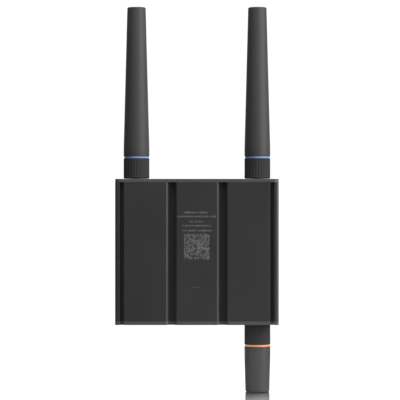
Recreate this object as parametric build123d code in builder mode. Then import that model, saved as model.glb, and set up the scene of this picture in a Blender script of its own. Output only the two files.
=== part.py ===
from build123d import *
import os

os.makedirs("parts", exist_ok=True)

# Compact wireless gateway in an extruded metal case: two tall rod antennas above, a short one below.
# Millimetres. +X is to the right seen from the back, +Y runs from the back to the front, +Z is up.
# The origin is on the back face, in the middle of the case.

# Case
WIDTH = 107.5
DEPTH = 34.0
HEIGHT = 96.0
PLATE = 2.3
TOP = HEIGHT / 2
BODY_TOP = TOP - PLATE
CORNER = 3.0
WALL = 2.1
GROOVE_X = 16.7
GROOVE_MOUTH = 6.9
GROOVE_FLOOR = 4.4
GROOVE_BEVEL = 1.25
GROOVE_DEPTH = 4.4
SLOT_X = 49.4
SLOT_WIDTH = 2.8
SLOT_DEPTH = 3.2
LIP_GROOVE = 3.4
LIP_SLOT = 2.2
SIDE_LINES = (7.5, 12.0, 22.0, 26.5)
FRONT_LINES = (41.5, 45.0, 48.5)
LINE_WIDTH = 1.4
LINE_DEPTH = 0.8
BACK_WALL = 6.4
RIM = 0.2
SEAL_Y = 19.1
SEAL_WIDTH = 105.8
SEAL_DEPTH = 28.1
SEAL_BAND = 0.95
SEAL_ROOM = 0.6
SEAL_PLAY = 0.05
SCREW_HOLE_R = 1.5
JACK_HOLE_R = 3.35
SCREW_X = 48.8
SCREW_Y = (9.3, 28.9)
SCREW_PLACES = [(x, y) for x in (-SCREW_X, SCREW_X) for y in SCREW_Y]

# Board, in the middle of the depth, so the board-edge antenna jacks sit on the antennas' axes
AXIS_Y = 17.0
BOARD = 1.6
BOARD_FRONT = AXIS_Y + BOARD / 2
BOARD_BACK = AXIS_Y - BOARD / 2
BOARD_TOP = 42.0
BOARD_WIDTH = 101.6

# Antenna connector, measured outwards from the outer face of the end plate
ANTENNA_X = 40.1
THREAD_R = 3.175
JACK_MOUTH = 9.5
REFERENCE = 7.6
GRIP_R = 8.57
GRIP_START = 0.2
GRIP_END = 13.75
NUT_START = 1.9
NUT_END = 12.6
NUT_R = 4.6
RING_START = 13.85
RING_END = 15.2
RING_R = 8.15
BASE_R = 8.54
TIP_R = 6.1
TALL_TIP = 113.95
SHORT_TIP = 45.1
SHORT_TIP_R = 7.95
SHEATH_WALL = 1.5
STEM_R = 3.2
FLUTES = 28

LEFT = Location((-ANTENNA_X, AXIS_Y, TOP))
RIGHT = Location((ANTENNA_X, AXIS_Y, TOP))
BELOW = Location((ANTENNA_X, AXIS_Y, -TOP), (180, 0, 0))

# Ports
NETWORK_X = (-36.0, -15.0)
NETWORK_W = 15.9
NETWORK_H = 13.3
NETWORK_D = 21.0
POWER_X = 6.0
TRAY_X = -14.0
TRAY_Y = 19.6
SERVICE_X = 12.0
SERVICE_Y = 19.45
RESET_X = 24.0
RESET_Y = 19.6
LIGHT_X = (-24.0, -12.0, 0.0, 12.0, 24.0)
LIGHT_Z = 18.0
LIGHT_R = 1.5
LIGHT_HOLE_R = 1.65
OVERLAY = 0.5
OVERLAY_WIDTH = 76.0
OVERLAY_HEIGHT = 52.0
OVERLAY_CORNER = 3.0


def save(built, name):
    """Writes one finished piece to its file."""
    built.part.label = name
    export_step(built.part, f"parts/{name}.step")


def plain_outline():
    """The case's outline seen from above, without its grooves."""
    with BuildSketch() as face:
        with Locations((0, DEPTH / 2)):
            RectangleRounded(WIDTH, DEPTH, CORNER)
    return face.sketch


def grooved_outline(groove, slot):
    """The case's outline seen from above, with the back grooves and side slots this deep."""
    half, floor = GROOVE_MOUTH / 2, GROOVE_FLOOR / 2
    with BuildSketch() as face:
        add(plain_outline())
        with Locations((-GROOVE_X, 0), (GROOVE_X, 0)):
            Polygon(
                (-half, 0), (half, 0), (floor, GROOVE_BEVEL), (floor, groove),
                (-floor, groove), (-floor, GROOVE_BEVEL),
                align=None,
                mode=Mode.SUBTRACT,
            )
        with Locations((-SLOT_X, 0), (SLOT_X, 0)):
            Rectangle(SLOT_WIDTH, slot, align=(Align.CENTER, Align.MIN), mode=Mode.SUBTRACT)
        fillet(face.vertices().filter_by(lambda v: abs(v.Y) < 0.01 and abs(v.X) < 50.5), 0.25)
    return face.sketch


def case_cavity():
    """The hollow inside the case, which follows the grooves at the back, with its screw bosses and board guides."""
    with BuildSketch() as face:
        with Locations((0, BACK_WALL)):
            Rectangle(WIDTH - 2 * WALL, DEPTH - WALL - BACK_WALL, align=(Align.CENTER, Align.MIN))
        for x, width in ((0.0, 21.0), (-34.3, 23.0), (34.3, 23.0)):
            with Locations((x, WALL)):
                Rectangle(width, BACK_WALL - WALL + 0.1, align=(Align.CENTER, Align.MIN))
        with Locations(*SCREW_PLACES):
            Circle(3.2, mode=Mode.SUBTRACT)
        for side in (-1, 1):
            with Locations((side * 50.4, AXIS_Y - 1.65), (side * 50.4, AXIS_Y + 1.65)):
                Rectangle(2.9, 1.5, mode=Mode.SUBTRACT)
    return face.sketch


# Extruded case
with BuildPart() as case_body:
    with BuildSketch(Plane.XY.offset(-BODY_TOP)):
        add(grooved_outline(GROOVE_DEPTH, SLOT_DEPTH))
        add(case_cavity(), mode=Mode.SUBTRACT)
        with Locations(*SCREW_PLACES):
            Circle(SCREW_HOLE_R, mode=Mode.SUBTRACT)
        # Shallow cooling grooves along both sides and at the front's edges
        for side in (-1, 1):
            with Locations(*[(side * WIDTH / 2, y) for y in SIDE_LINES]):
                Rectangle(2 * LINE_DEPTH, LINE_WIDTH, mode=Mode.SUBTRACT)
            with Locations(*[(side * x, DEPTH) for x in FRONT_LINES]):
                Rectangle(LINE_WIDTH, 2 * LINE_DEPTH, mode=Mode.SUBTRACT)
    extrude(amount=2 * BODY_TOP)
    # Recess for the front overlay, and holes for the light guides
    with BuildSketch(Plane.XZ.offset(-DEPTH)):
        RectangleRounded(OVERLAY_WIDTH + 0.4, OVERLAY_HEIGHT + 0.4, OVERLAY_CORNER + 0.2)
    extrude(amount=OVERLAY, mode=Mode.SUBTRACT)
    with BuildSketch(Plane.XZ.offset(-DEPTH)):
        with Locations(*[(x, LIGHT_Z) for x in LIGHT_X]):
            Circle(LIGHT_HOLE_R)
    extrude(amount=2 * WALL, mode=Mode.SUBTRACT)
save(case_body, "case_body")


def seal_outline(play):
    """The seal's flat band, this much smaller all round than the recess it lies in."""
    outer, inner = -2 * play, 2 * play - 2 * SEAL_BAND
    with BuildSketch() as band:
        with Locations((0, SEAL_Y)):
            RectangleRounded(SEAL_WIDTH + outer, SEAL_DEPTH + outer, 2.4 - play)
            RectangleRounded(SEAL_WIDTH + inner, SEAL_DEPTH + inner, 1.45 + play, mode=Mode.SUBTRACT)
    return band.sketch


def end_plate(outline):
    """An end plate of this outline on top of the case, with its rim, seal recess and screw holes."""
    with BuildPart() as plate:
        with BuildSketch(Plane.XY.offset(BODY_TOP)):
            add(outline)
        extrude(amount=PLATE)
        with BuildSketch(Plane.XY.offset(BODY_TOP)):
            add(seal_outline(0))
        extrude(amount=SEAL_ROOM, mode=Mode.SUBTRACT)
        with Locations(*[Location((x, y, TOP)) for x, y in SCREW_PLACES]):
            CounterSinkHole(radius=1.6, counter_sink_radius=3.15, counter_sink_angle=90)
        rim = plate.faces().sort_by(Axis.Z)[-1].outer_wire().edges()
        chamfer(rim, RIM)
    return plate.part


# The top plate closes the upper ends of the grooves and slots
with BuildPart() as top_end_plate:
    add(end_plate(plain_outline()))
    with Locations(LEFT, RIGHT):
        Cylinder(JACK_HOLE_R, 10, mode=Mode.SUBTRACT)
    with Locations((TRAY_X, TRAY_Y, TOP)):
        Box(27.4, 3.2, 10, mode=Mode.SUBTRACT)
    with BuildSketch(Plane.XY.offset(TOP)):
        with Locations((SERVICE_X, SERVICE_Y)):
            SlotOverall(9.6, 3.9)
    extrude(amount=-PLATE, mode=Mode.SUBTRACT)
    with Locations((RESET_X, RESET_Y, TOP)):
        Cylinder(1.5, 10, mode=Mode.SUBTRACT)
save(top_end_plate, "top_end_plate")

# The bottom plate leaves their lower ends open, over shallow lips, so a bracket can slide in
with BuildPart() as bottom_end_plate:
    add(mirror(end_plate(grooved_outline(LIP_GROOVE, LIP_SLOT)), about=Plane.XY, mode=Mode.PRIVATE))
    with Locations(BELOW):
        Cylinder(JACK_HOLE_R, 10, mode=Mode.SUBTRACT)
    with Locations(*[(x, BOARD_FRONT + NETWORK_H / 2, -TOP) for x in NETWORK_X]):
        Box(NETWORK_W + 0.4, NETWORK_H + 0.4, 10, mode=Mode.SUBTRACT)
    with Locations((POWER_X, BOARD_FRONT + 4.2, -TOP)):
        Box(13.4, 8.8, 10, mode=Mode.SUBTRACT)
save(bottom_end_plate, "bottom_end_plate")

for name, z, way in (("top_seal", BODY_TOP, 1), ("bottom_seal", -BODY_TOP, -1)):
    with BuildPart() as seal:
        with BuildSketch(Plane.XY.offset(z)):
            add(seal_outline(SEAL_PLAY))
        extrude(amount=way * (SEAL_ROOM - SEAL_PLAY))
    save(seal, name)

# Countersunk screws, with their heads just under the plates' outer faces
with BuildPart() as screw:
    with BuildSketch(Plane.XZ):
        with BuildLine():
            Polyline((0, 0), (2.9, 0), (2.9, -0.1), (1.45, -1.55), (1.45, -9.6), (1.05, -10), (0, -10), close=True)
        make_face()
    revolve(axis=Axis.Z)
    with BuildSketch(Plane.XY):
        RegularPolygon(1.16, 6)
    extrude(amount=-1.2, mode=Mode.SUBTRACT)
with BuildPart() as end_plate_screws:
    with Locations(*[Location((x, y, TOP - 0.1)) for x, y in SCREW_PLACES]):
        add(screw.part)
    with Locations(*[Location((x, y, 0.1 - TOP), (180, 0, 0)) for x, y in SCREW_PLACES]):
        add(screw.part)
save(end_plate_screws, "end_plate_screws")


# Antenna jacks, soldered to the board's edges
with BuildPart() as jack_shell:
    with BuildSketch(Plane.XZ):
        with BuildLine():
            Polyline(
                (2.05, -5.9), (3.0, -5.9), (3.0, -2.45), (THREAD_R, -2.45), (THREAD_R, JACK_MOUTH - 0.3),
                (THREAD_R - 0.3, JACK_MOUTH), (2.3, JACK_MOUTH), (2.3, REFERENCE), (2.05, REFERENCE),
                close=True,
            )
        make_face()
    revolve(axis=Axis.Z)
    with BuildSketch(Plane.XY.offset(-4.55)):
        RegularPolygon(4.0, 6, major_radius=False)
        Circle(2.05, mode=Mode.SUBTRACT)
    extrude(amount=2.1)
    with Locations((0, 0, -5.2)):
        Box(7.0, 6.0, 1.4)
    with Locations((0, 0, -5.2)):
        Cylinder(2.05, 1.4, mode=Mode.SUBTRACT)
    with Locations(*[(x, y, -8.4) for x in (-2.9, 2.9) for y in (-1.5, 1.5)]):
        Box(1.2, 1.36, 5.2)
with BuildPart() as jack_insulator:
    with Locations((0, 0, (REFERENCE - 5.9) / 2)):
        Cylinder(2.05, REFERENCE + 5.9)
    with Locations((0, 0, (REFERENCE - 5.9) / 2)):
        Cylinder(0.635, REFERENCE + 5.9, mode=Mode.SUBTRACT)
with BuildPart() as jack_contact:
    with Locations((0, 0, (REFERENCE - 5.9) / 2)):
        Cylinder(0.635, REFERENCE + 5.9)
    with Locations((0, 0, REFERENCE)):
        Cylinder(0.475, 6.4, mode=Mode.SUBTRACT)
for name, one in (
    ("antenna_jack_shells", jack_shell),
    ("antenna_jack_insulators", jack_insulator),
    ("antenna_jack_contacts", jack_contact),
):
    with BuildPart() as group:
        with Locations(LEFT, RIGHT, BELOW):
            add(one.part)
    save(group, name)


# One antenna's pieces, standing on the end plate
with BuildPart() as grip:
    with BuildSketch(Plane.XZ):
        with BuildLine():
            Polyline(
                (NUT_R, GRIP_START), (5.9, GRIP_START), (5.9, 9.0), (7.2, 9.0), (7.2, GRIP_START),
                (GRIP_R - 0.6, GRIP_START), (GRIP_R, GRIP_START + 0.6), (GRIP_R, GRIP_END - 0.4),
                (GRIP_R - 0.4, GRIP_END), (5.7, GRIP_END), (5.7, NUT_END), (NUT_R, NUT_END),
                close=True,
            )
        make_face()
    revolve(axis=Axis.Z)
    with BuildSketch(Plane.XY.offset(GRIP_START + 1.7)):
        with PolarLocations(GRIP_R + 0.35, FLUTES):
            Circle(0.7)
    extrude(amount=GRIP_END - GRIP_START - 3.0, mode=Mode.SUBTRACT)

with BuildPart() as nut:
    with BuildSketch(Plane.XZ):
        with BuildLine():
            Polyline(
                (THREAD_R + 0.3, NUT_START), (NUT_R, NUT_START), (NUT_R, NUT_END), (2.55, NUT_END), (2.55, 10.3),
                (THREAD_R + 0.04, 10.3), (THREAD_R + 0.04, NUT_START + 0.3),
                close=True,
            )
        make_face()
    revolve(axis=Axis.Z)

with BuildPart() as plug_body:
    with BuildSketch(Plane.XZ):
        with BuildLine():
            Polyline(
                (0.455, REFERENCE + 0.05), (2.25, REFERENCE + 0.05), (2.25, 9.65), (2.85, 9.65), (2.85, 10.2),
                (2.5, 10.2), (2.5, 12.7), (5.2, 12.7), (5.2, 13.8), (STEM_R, 13.8), (STEM_R, 22.0), (0.455, 22.0),
                close=True,
            )
        make_face()
    revolve(axis=Axis.Z)

with BuildPart() as plug_pin:
    with BuildSketch(Plane.XZ):
        with BuildLine():
            Polyline((0, 5.0), (0.3, 5.0), (0.455, 5.3), (0.455, 22.0), (0, 22.0), close=True)
        make_face()
    revolve(axis=Axis.Z)

with BuildPart() as ring:
    with BuildSketch(Plane.XY.offset(RING_START)):
        Circle(RING_R)
        Circle(STEM_R, mode=Mode.SUBTRACT)
    extrude(amount=RING_END - RING_START)

with BuildPart() as base_plug:
    with BuildSketch(Plane.XY.offset(RING_END)):
        Circle(BASE_R - SHEATH_WALL)
        Circle(STEM_R, mode=Mode.SUBTRACT)
    extrude(amount=4.0)


def sheath(shoulder, tip, tip_r):
    """A tapered sheath: a short straight foot, then a straight taper to a flat rounded tip, hollow and open below."""
    with BuildPart() as cover:
        with BuildSketch(Plane.XZ):
            with BuildLine():
                Polyline(
                    (BASE_R - SHEATH_WALL, RING_END), (BASE_R, RING_END), (BASE_R, shoulder), (tip_r, tip),
                    (0, tip), (0, tip - 2.0), (tip_r - SHEATH_WALL, tip - 2.0), (BASE_R - SHEATH_WALL, shoulder),
                    close=True,
                )
            make_face()
        revolve(axis=Axis.Z)
        fillet(cover.edges().filter_by(GeomType.CIRCLE).group_by(Axis.Z)[-1], 1.0)
    return cover.part


with BuildPart() as whip_element:
    with BuildSketch(Plane.XZ):
        with BuildLine():
            Polyline(
                (0, 22.1), (3.6, 22.1), (3.6, 62.0), (3.0, 62.0), (3.0, 23.1), (0.9, 23.1), (0.9, 106.0), (0, 106.0),
                close=True,
            )
        make_face()
    revolve(axis=Axis.Z)

with BuildPart() as stub_former:
    with Locations((0, 0, 31.8)):
        Cylinder(3.0, 19.4)

with BuildPart() as stub_coil:
    with BuildLine() as turns:
        Helix(pitch=3.0, height=15.0, radius=3.75, center=(0, 0, 24.0))
    with BuildSketch(turns.line ^ 0):
        Circle(0.5)
    sweep(path=turns.line)

tall_sheath = sheath(20.5, TALL_TIP, TIP_R)
short_sheath = sheath(22.0, SHORT_TIP, SHORT_TIP_R)
common = {
    "nut_grip": grip.part,
    "coupling_nut": nut.part,
    "plug_body": plug_body.part,
    "plug_pin": plug_pin.part,
    "ring": ring.part,
    "base_plug": base_plug.part,
}
tall = {**common, "sheath": tall_sheath, "element": whip_element.part}
short = {**common, "sheath": short_sheath, "coil": stub_coil.part, "former": stub_former.part}
for prefix, place, pieces in (
    ("left_antenna", LEFT, tall),
    ("right_antenna", RIGHT, tall),
    ("short_antenna", BELOW, short),
):
    for piece, shape in pieces.items():
        with BuildPart() as placed:
            with Locations(place):
                add(shape)
        save(placed, f"{prefix}_{piece}")


# Board and what stands on it
def blocks(*boxes):
    """A group of plain blocks, each given by its low and high corners."""
    with BuildPart() as group:
        for low, high in boxes:
            middle = [(a + b) / 2 for a, b in zip(low, high)]
            with Locations(tuple(middle)):
                Box(*[b - a for a, b in zip(low, high)])
    return group


with BuildPart() as main_board:
    with Locations((0, AXIS_Y, 0)):
        Box(BOARD_WIDTH, BOARD, 2 * BOARD_TOP)
save(main_board, "main_board")

# F and B are the board's front and back faces
F, B = BOARD_FRONT, BOARD_BACK
save(blocks(((-16, F, -18), (3, F + 1.4, 1))), "processor")
with BuildPart() as heat_sink:
    with Locations((-6.5, F + 1.4 + 0.75, -8.5)):
        Box(26, 1.5, 26)
    with Locations(*[(-6.5 + x, F + 1.4 + 3.75, -8.5) for x in (-12.4, -9.3, -6.2, -3.1, 0, 3.1, 6.2, 9.3, 12.4)]):
        Box(1.2, 7.5, 26)
save(heat_sink, "heat_sink")
with BuildPart() as radio_shield:
    with Locations((31, F + 1.3, 0)):
        Box(24, 2.6, 28)
    fillet(radio_shield.edges().filter_by(Axis.Y), 0.8)
    with Locations((31, F + 1.1, 0)):
        Box(23.4, 2.2, 27.4, mode=Mode.SUBTRACT)
save(radio_shield, "radio_shield")
with BuildPart() as modem_card:
    with Locations((-20, B - 4.5, 4)):
        Box(30, 1.0, 50)
save(modem_card, "modem_card")
save(blocks(((-33.5, B - 7.4, -6), (-6.5, B - 5.0, 24))), "modem_shield")
with BuildPart() as modem_supports:
    with Locations(*[Location((x, B - 2.0, -17), (90, 0, 0)) for x in (-31.5, -8.5)]):
        Cylinder(2.2, 4.0)
    with Locations((-20, B - 2.0, 26.5)):
        Box(30, 4.0, 5)
save(modem_supports, "modem_supports")
with BuildPart() as board_capacitors:
    with Locations(*[Location((x, F + 4.0, z), (90, 0, 0)) for x, z in ((20, -32), (20, -24), (28, -32), (28, -24))]):
        Cylinder(3.15, 8.0)
save(board_capacitors, "board_capacitors")
save(
    blocks(
        ((6, F, -30), (13.5, F + 4.2, -22.5)), ((36, F, -34), (43.5, F + 4.2, -26.5)),
        ((10, B - 4.2, -34), (17, B, -27)),
    ),
    "board_inductors",
)
save(
    blocks(
        ((-38, F, -6), (-26, F + 1.1, 6)), ((-38, F, 10), (-32, F + 1.0, 14)), ((8, F, -14), (15, F + 1.2, -6)),
        ((8, F, 2), (15, F + 1.2, 10)), ((4, B - 1.2, -14), (18, B, 0)), ((24, B - 1.2, -20), (34, B, -10)),
        ((24, B - 1.6, 2), (40, B, 18)),
        *[((x - 0.8, F, LIGHT_Z - 1.2), (x + 0.8, F + 1.1, LIGHT_Z + 1.2)) for x in LIGHT_X],
    ),
    "board_chips",
)

# Front overlay and light guides
with BuildPart() as front_overlay:
    with BuildSketch(Plane.XZ.offset(-DEPTH)):
        RectangleRounded(OVERLAY_WIDTH, OVERLAY_HEIGHT, OVERLAY_CORNER)
        with Locations(*[(x, LIGHT_Z) for x in LIGHT_X]):
            Circle(LIGHT_HOLE_R, mode=Mode.SUBTRACT)
    extrude(amount=OVERLAY)
save(front_overlay, "front_overlay")
with BuildPart() as light_guides:
    with BuildSketch(Plane.XZ.offset(-DEPTH)):
        with Locations(*[(x, LIGHT_Z) for x in LIGHT_X]):
            Circle(LIGHT_R)
    extrude(amount=DEPTH - F - 1.3)
save(light_guides, "light_guides")

# Network jacks, flush in the bottom plate
SHELL = 0.3
JACK_FRONT = -TOP + 0.1
JACK_BACK = JACK_FRONT + NETWORK_D
with BuildPart() as network_jack_shells:
    with Locations(*[(x, F + NETWORK_H / 2, (JACK_FRONT + JACK_BACK) / 2) for x in NETWORK_X]):
        Box(NETWORK_W, NETWORK_H, NETWORK_D)
        Box(NETWORK_W - 2 * SHELL, NETWORK_H - 2 * SHELL, NETWORK_D, mode=Mode.SUBTRACT)
    with Locations(*[(x, F + NETWORK_H / 2, JACK_BACK - SHELL / 2) for x in NETWORK_X]):
        Box(NETWORK_W - SHELL, NETWORK_H - SHELL, SHELL)
save(network_jack_shells, "network_jack_shells")
CAVITY_Y = F + 7.3
with BuildPart() as network_jack_bodies:
    with Locations(*[(x, F + NETWORK_H / 2, (JACK_FRONT + JACK_BACK) / 2 + 0.15) for x in NETWORK_X]):
        Box(NETWORK_W - 2 * SHELL, NETWORK_H - 2 * SHELL, NETWORK_D - 0.9)
    with Locations(*[(x, CAVITY_Y, JACK_FRONT + 7.2) for x in NETWORK_X]):
        Box(12.0, 7.0, 14.4, mode=Mode.SUBTRACT)
    with Locations(*[(x, CAVITY_Y - 4.2, JACK_FRONT + 7.2) for x in NETWORK_X]):
        Box(6.4, 1.6, 14.4, mode=Mode.SUBTRACT)
    with Locations(*[(x, CAVITY_Y - 5.4, JACK_FRONT + 4.0) for x in NETWORK_X]):
        Box(3.4, 1.2, 8.0, mode=Mode.SUBTRACT)
save(network_jack_bodies, "network_jack_bodies")
with BuildPart() as network_contacts:
    for x in NETWORK_X:
        with Locations(*[(x + 1.02 * (i - 3.5), CAVITY_Y + 3.35, JACK_FRONT + 7.4) for i in range(8)]):
            Box(0.5, 0.3, 12.0)
save(network_contacts, "network_contacts")

# Power header
with BuildPart() as power_header_body:
    with Locations((POWER_X, F + 4.2, JACK_FRONT + 5.0)):
        Box(13.0, 8.4, 10.0)
    with Locations((POWER_X, F + 4.2, JACK_FRONT + 4.25)):
        Box(11.2, 6.6, 8.5, mode=Mode.SUBTRACT)
    with Locations(*[(POWER_X + x, F + 7.8, JACK_FRONT + 2.5) for x in (-3.81, 0, 3.81)]):
        Box(1.6, 1.3, 5.0, mode=Mode.SUBTRACT)
save(power_header_body, "power_header_body")
with BuildPart() as power_header_pins:
    with Locations(*[(POWER_X + x, F + 4.2, JACK_FRONT + 5.0) for x in (-3.81, 0, 3.81)]):
        Box(1.0, 1.0, 7.0)
save(power_header_pins, "power_header_pins")

# Card tray in its cage
with BuildPart() as card_cage:
    with Locations((TRAY_X, F + 1.65, 33.0)):
        Box(27.2, 3.3, 18.0)
    with Locations((TRAY_X, F + 1.5, 33.0)):
        Box(26.4, 3.0, 18.0, mode=Mode.SUBTRACT)
save(card_cage, "card_cage")
with BuildPart() as card_tray:
    with Locations((TRAY_X, TRAY_Y, 35.4)):
        Box(26.0, 1.6, 21.2)
    with Locations((TRAY_X, TRAY_Y, TOP - 1.2)):
        Box(27.0, 2.8, 2.2)
    with Locations((TRAY_X, TRAY_Y + 0.4, 33.0)):
        Box(24.2, 0.85, 14.2, mode=Mode.SUBTRACT)
    with Locations((TRAY_X + 11.6, TRAY_Y, TOP)):
        Cylinder(0.55, 8.0, mode=Mode.SUBTRACT)
save(card_tray, "card_tray")
save(blocks(((TRAY_X - 12.0, TRAY_Y, 26.0), (TRAY_X + 12.0, TRAY_Y + 0.76, 40.0))), "subscriber_card")

# Service port
with BuildPart() as service_port_shell:
    with BuildSketch(Plane.XY.offset(38.0)):
        with Locations((SERVICE_X, SERVICE_Y)):
            SlotOverall(8.94, 3.26)
            SlotOverall(8.34, 2.66, mode=Mode.SUBTRACT)
    extrude(amount=9.8)
    with BuildSketch(Plane.XY.offset(38.0)):
        with Locations((SERVICE_X, SERVICE_Y)):
            SlotOverall(8.6, 2.9)
    extrude(amount=1.5)
save(service_port_shell, "service_port_shell")
tongue = blocks(((SERVICE_X - 3.3, SERVICE_Y - 0.35, 39.5), (SERVICE_X + 3.3, SERVICE_Y + 0.35, 47.0)))
save(tongue, "service_port_tongue")

# Reset button and its switch
with BuildPart() as reset_switch:
    with Locations((RESET_X, F + 1.9, 38.5)):
        Box(4.5, 3.8, 5.0)
    with Locations((RESET_X, RESET_Y, 41.0)):
        Cylinder(0.95, 5.0, mode=Mode.SUBTRACT)
save(reset_switch, "reset_switch")
with BuildPart() as reset_button:
    with Locations((RESET_X, RESET_Y, 40.7)):
        Cylinder(0.9, 2.6)
    with Locations((RESET_X, RESET_Y, 44.55)):
        Cylinder(1.45, 5.3)
    fillet(reset_button.edges().filter_by(GeomType.CIRCLE).sort_by(Axis.Z)[-1], 0.3)
save(reset_button, "reset_button")
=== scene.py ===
import math

import bmesh
import bpy
from mathutils import Matrix, Vector


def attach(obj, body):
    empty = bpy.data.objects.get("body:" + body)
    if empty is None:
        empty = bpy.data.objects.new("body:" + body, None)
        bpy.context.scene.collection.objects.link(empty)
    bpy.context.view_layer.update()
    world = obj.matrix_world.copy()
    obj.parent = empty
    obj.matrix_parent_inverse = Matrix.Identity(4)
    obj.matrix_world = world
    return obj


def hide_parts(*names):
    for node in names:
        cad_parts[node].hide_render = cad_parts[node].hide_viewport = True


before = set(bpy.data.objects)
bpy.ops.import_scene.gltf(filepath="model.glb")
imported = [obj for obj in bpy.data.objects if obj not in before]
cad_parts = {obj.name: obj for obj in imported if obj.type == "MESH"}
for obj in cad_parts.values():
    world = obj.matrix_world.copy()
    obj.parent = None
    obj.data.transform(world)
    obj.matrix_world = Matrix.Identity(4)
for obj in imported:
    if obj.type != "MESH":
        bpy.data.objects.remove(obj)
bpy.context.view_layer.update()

# A wireless gateway in an extruded case, standing on its short antenna, with two tall antennas above.
# Sizes below are in millimetres and become metres where a mesh is made.
MM = 0.001

# Case
HALF_WIDTH = 53.75
DEPTH = 34.0
BACK = 0.02
TOP = 48.0
PLATE = 2.3
BODY_TOP = TOP - PLATE
CORNER = 2.9
GROOVE_X = 16.7
GROOVE_MOUTH = 3.45
GROOVE_FLOOR = 2.2
GROOVE_BEVEL = 1.25
GROOVE_DEPTH = 4.4
LIP_GROOVE = 3.4
SLOT_X = 49.4
SLOT_HALF = 1.4
SLOT_DEPTH = 3.2
LIP_SLOT = 2.2
SIDE_LINES = (7.5, 12.0, 22.0, 26.5)
FRONT_LINES = (41.5, 45.0, 48.5)
LINE_HALF = 0.7
LINE_DEPTH = 0.8
PLATE_RIM = 0.2

# Roundings of the extrusion's edges
SHARP = 0.12
EASED = 0.2
PAD_EDGE = 0.28
BEVEL_EDGE = 0.3

# End plate screws, and the seals between the plates and the case
SCREW_X = 48.8
SCREW_Y = (9.3, 28.9)
SCREW_HOLE_R = 1.5
SCREW_LENGTH = 10.0
SCREW_BELOW = 0.1
HEAD_R = 2.9
HEAD_DEPTH = 1.55
SHANK_R = 1.45
SHANK_TIP_R = 1.05
SOCKET_R = 1.16
SOCKET_DEPTH = 1.2
SINK_R = 3.15
SINK_HOLE_R = 1.6
SEAL_Y = 19.1
SEAL_WIDTH = 105.8
SEAL_DEPTH = 28.1
SEAL_CORNER = 2.4
SEAL_BAND = 0.95
SEAL_ROOM = 0.6

# Antennas, along their axes from the outer face of the end plate
AXIS_Y = 17.0
ANTENNA_X = 40.1
GRIP_R = 8.57
GRIP_START = 0.27
GRIP_END = 13.7
HUB_R = 5.9
HOLLOW_R = 7.2
HOLLOW_END = 9.0
COLLAR_R = 5.7
FLUTES = 28
FLUTE_DEPTH = 0.2
FLUTE_RUN_OUT = 0.9
FLUTE_ROWS = 34
FLUTE_STEP = 0.35
NUT_R = 4.6
NUT_END = 12.6
RING_START = 13.72
RING_END = 14.94
RING_R = 8.15
STEM_R = 3.2
BASE_R = 8.54
SHEATH_WALL = 1.5
TIP_WALL = 2.0
SHOULDER_ROUND = 6.0
ANTENNAS = ("left_antenna", "right_antenna", "short_antenna")
TALL = {"shoulder": 20.5, "tip": 113.95, "tip_r": 6.1}
SHORT = {"shoulder": 22.0, "tip": 45.1, "tip_r": 7.95}
FLOOR_Z = -TOP - SHORT["tip"]

# Ports, with the size of each opening in the end plates
JACK_HOLE_R = 3.35
PORT_CORNER = 0.4
BOARD_FRONT = 17.8
NETWORK_X = (-36.0, -15.0)
NETWORK_Y = BOARD_FRONT + 6.65
NETWORK_HOLE = (16.3, 13.7)
POWER_X = 6.0
POWER_Y = BOARD_FRONT + 4.2
POWER_HOLE = (13.4, 8.8)
TRAY_X = -14.0
TRAY_Y = 19.6
TRAY_HOLE = (27.4, 3.2)
SERVICE_X = 12.0
SERVICE_Y = 19.45
SERVICE_HOLE = (9.6, 3.9)
RESET_X = 24.0
RESET_Y = 19.6
RESET_HOLE_R = 1.5

# Front film and lights
FILM_WIDTH = 76.0
FILM_HEIGHT = 52.0
FILM_CORNER = 3.0
FILM_PLAY = 0.2
FILM_ROOM = 0.5
FILM_FACE = DEPTH - 0.03
LIGHT_X = (-24.0, -12.0, 0.0, 12.0, 24.0)
LIGHT_Z = 18.0
LIGHT_HOLE_R = 1.65

# Print on the back: rows of (left, right, height, tallness), a rule, and a square field of cells
PRINT_THICK = 0.02
BACK_ROWS = (
    (-8.3, 7.2, 25.9, 1.3), (-13.0, 12.5, 23.3, 1.25), (-4.9, 4.8, 19.9, 1.2), (-9.1, 8.9, 17.2, 1.3),
    (-9.7, 10.2, 14.0, 1.4),
)
BACK_RULE = (-3.2, 2.0, -23.3, 0.35)
FIELD_SIDE = 16.6
FIELD_CELLS = 27
FIELD_X = -0.1
FIELD_Z = 3.55

# Camera, in metres
CAMERA_PLACE = (0.00203, -1.5, 0.0341)
CAMERA_LENS = 205.7


# ---------------------------------------------------------------- outlines and meshes
# Half a corner's angle, in radians, past which it counts as straight
STRAIGHT = 1.56
# Points closer than this count as doubled
DOUBLED = 0.0005
# The angle past which an edge is shaded sharp
SHARP_ANGLE = math.radians(38)


def rounded(corners, steps=4, closed=True):
    """A smooth outline from corners (x, y, radius), each turned into an arc of its own radius."""
    line = []
    count = len(corners)
    for i, (x, y, radius) in enumerate(corners):
        here = Vector((x, y))
        if radius <= 0 or (not closed and i in (0, count - 1)):
            line.append(here)
            continue
        before = Vector(corners[i - 1][:2]) - here
        after = Vector(corners[(i + 1) % count][:2]) - here
        half = before.angle(after) / 2
        if half > STRAIGHT:
            line.append(here)
            continue
        reach = min(radius / math.tan(half), 0.49 * before.length, 0.49 * after.length)
        radius = reach * math.tan(half)
        inwards = (before.normalized() + after.normalized()).normalized()
        centre = here + inwards * (radius / math.sin(half))
        start = here + before.normalized() * reach - centre
        end = here + after.normalized() * reach - centre
        turn = start.angle_signed(end)
        for k in range(steps + 1):
            a = -turn * k / steps
            c, s = math.cos(a), math.sin(a)
            line.append(centre + Vector((start.x * c - start.y * s, start.x * s + start.y * c)))
    return [(p.x, p.y) for p in line]


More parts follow.
